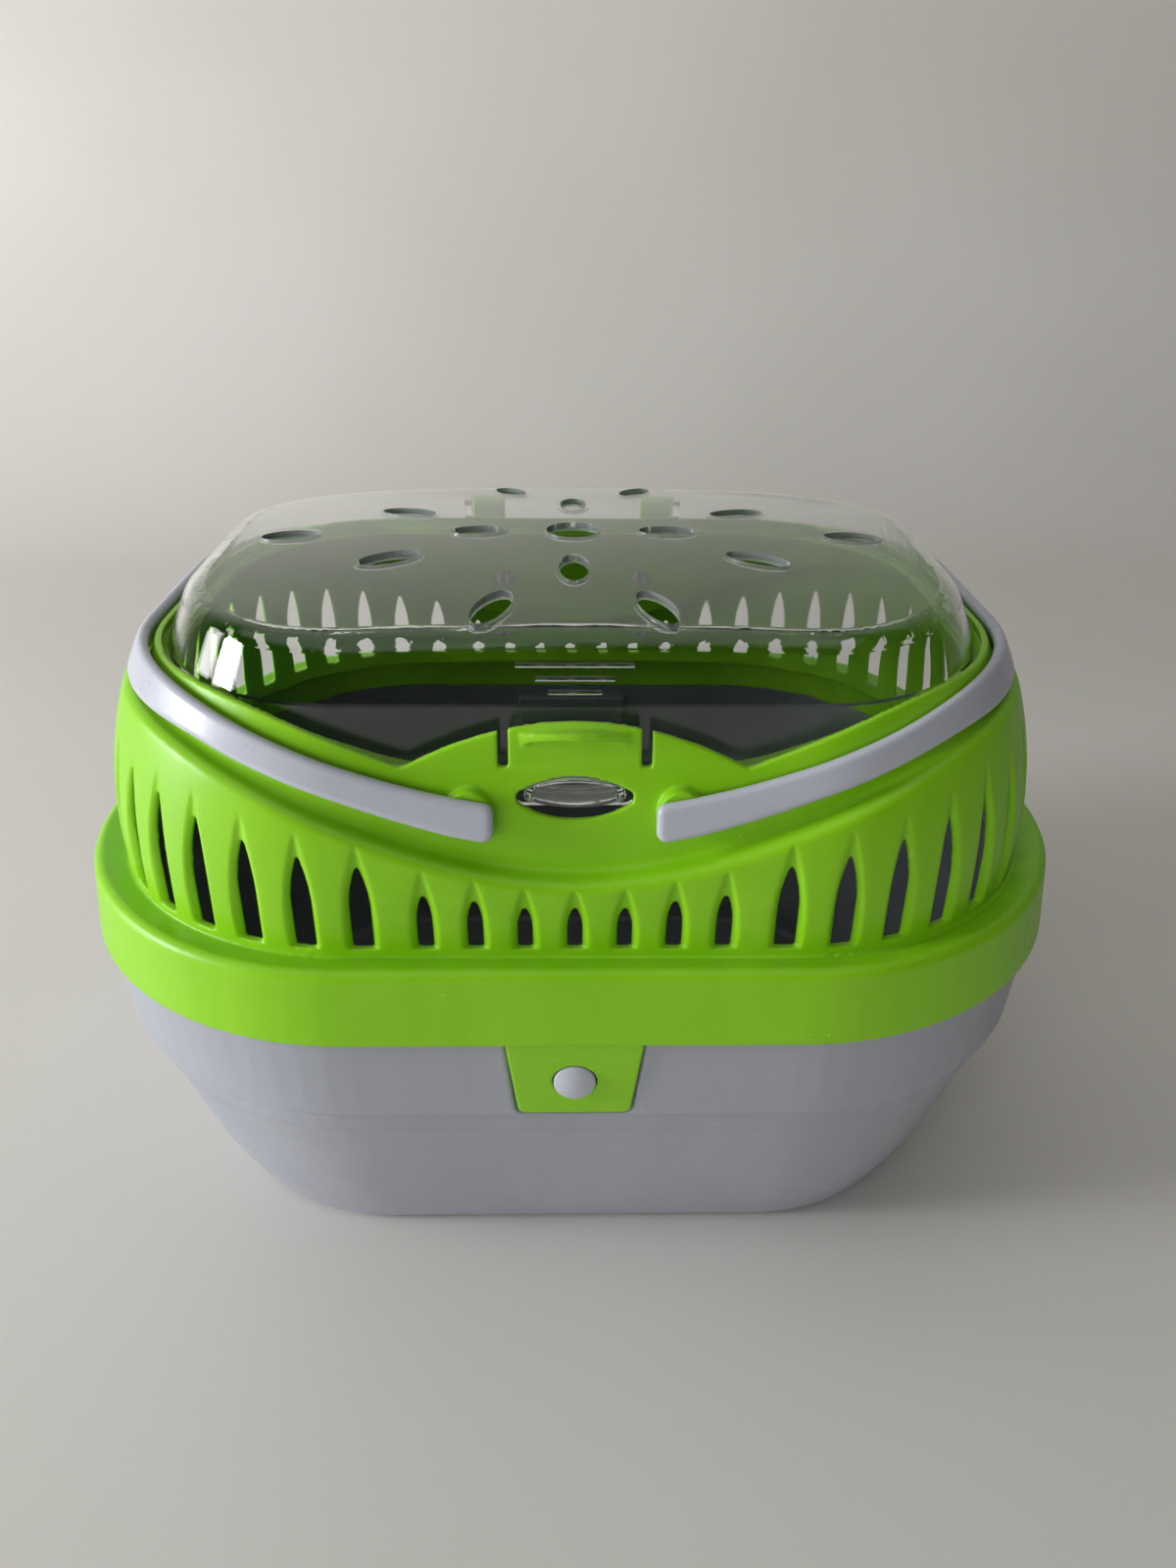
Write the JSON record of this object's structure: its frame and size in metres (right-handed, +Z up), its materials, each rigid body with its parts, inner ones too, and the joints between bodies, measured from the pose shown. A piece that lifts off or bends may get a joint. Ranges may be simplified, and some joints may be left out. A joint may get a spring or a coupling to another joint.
{
  "type": "small animal carrier",
  "caption": "Small animal carrier: bowl tray, slotted basket top, clear hinged lid with air holes held by a flexing front tongue, and carry handles that fold up over the lid.",
  "frame": {"origin": "centre of the tray's flat underside, on the floor", "axes": "+X along the length, to the right as seen from the tongue side; +Y to the rear, where the lid is hinged; +Z up"},
  "size_m": [0.3004, 0.2286, 0.206],
  "materials": {
    "grey_plastic": "light lavender-grey moulded plastic, satin",
    "green_plastic": "bright lime-green moulded plastic, satin",
    "clear_plastic": "clear moulded plastic, polished"
  },
  "bodies": {
    "base": {"base_tray": "grey_plastic", "front_stud": "grey_plastic", "rear_stud": "grey_plastic"},
    "cage": {"cage": "green_plastic", "front_tab": "green_plastic", "rear_tab": "green_plastic"},
    "lid": {"lid": "clear_plastic"},
    "handle_left": {"handle_left": "grey_plastic"},
    "handle_right": {"handle_right": "grey_plastic"},
    "tongue": {"latch_tongue": "green_plastic"}
  },
  "joints": [
    {"name": "cage_lift", "type": "slide", "parent": "base", "child": "cage", "axis": [0, 0, 1], "range_m": [0, 0.13], "deforming": ["front_tab", "rear_tab"]},
    {"name": "lid_hinge", "type": "hinge", "parent": "cage", "child": "lid", "pos_m": [0, 0.0874, 0.1902], "axis": [-1, 0, 0], "range_deg": [0, 105], "deforming": ["latch_tongue"]},
    {"name": "handle_left_pivot", "type": "hinge", "parent": "cage", "child": "handle_left", "pos_m": [-0.0268, 0, 0.1604], "axis": [0, -1, 0], "range_deg": [-89, 0]},
    {"name": "handle_right_pivot", "type": "hinge", "parent": "cage", "child": "handle_right", "pos_m": [0.0268, 0, 0.1604], "axis": [0, 1, 0], "range_deg": [-89, 0]},
    {"name": "latch_tongue_flex", "type": "hinge", "parent": "cage", "child": "tongue", "pos_m": [0, -0.0942, 0.15], "axis": [1, 0, 0], "range_deg": [0, 7], "stiffness_Nm_per_rad": 3}
  ]
}
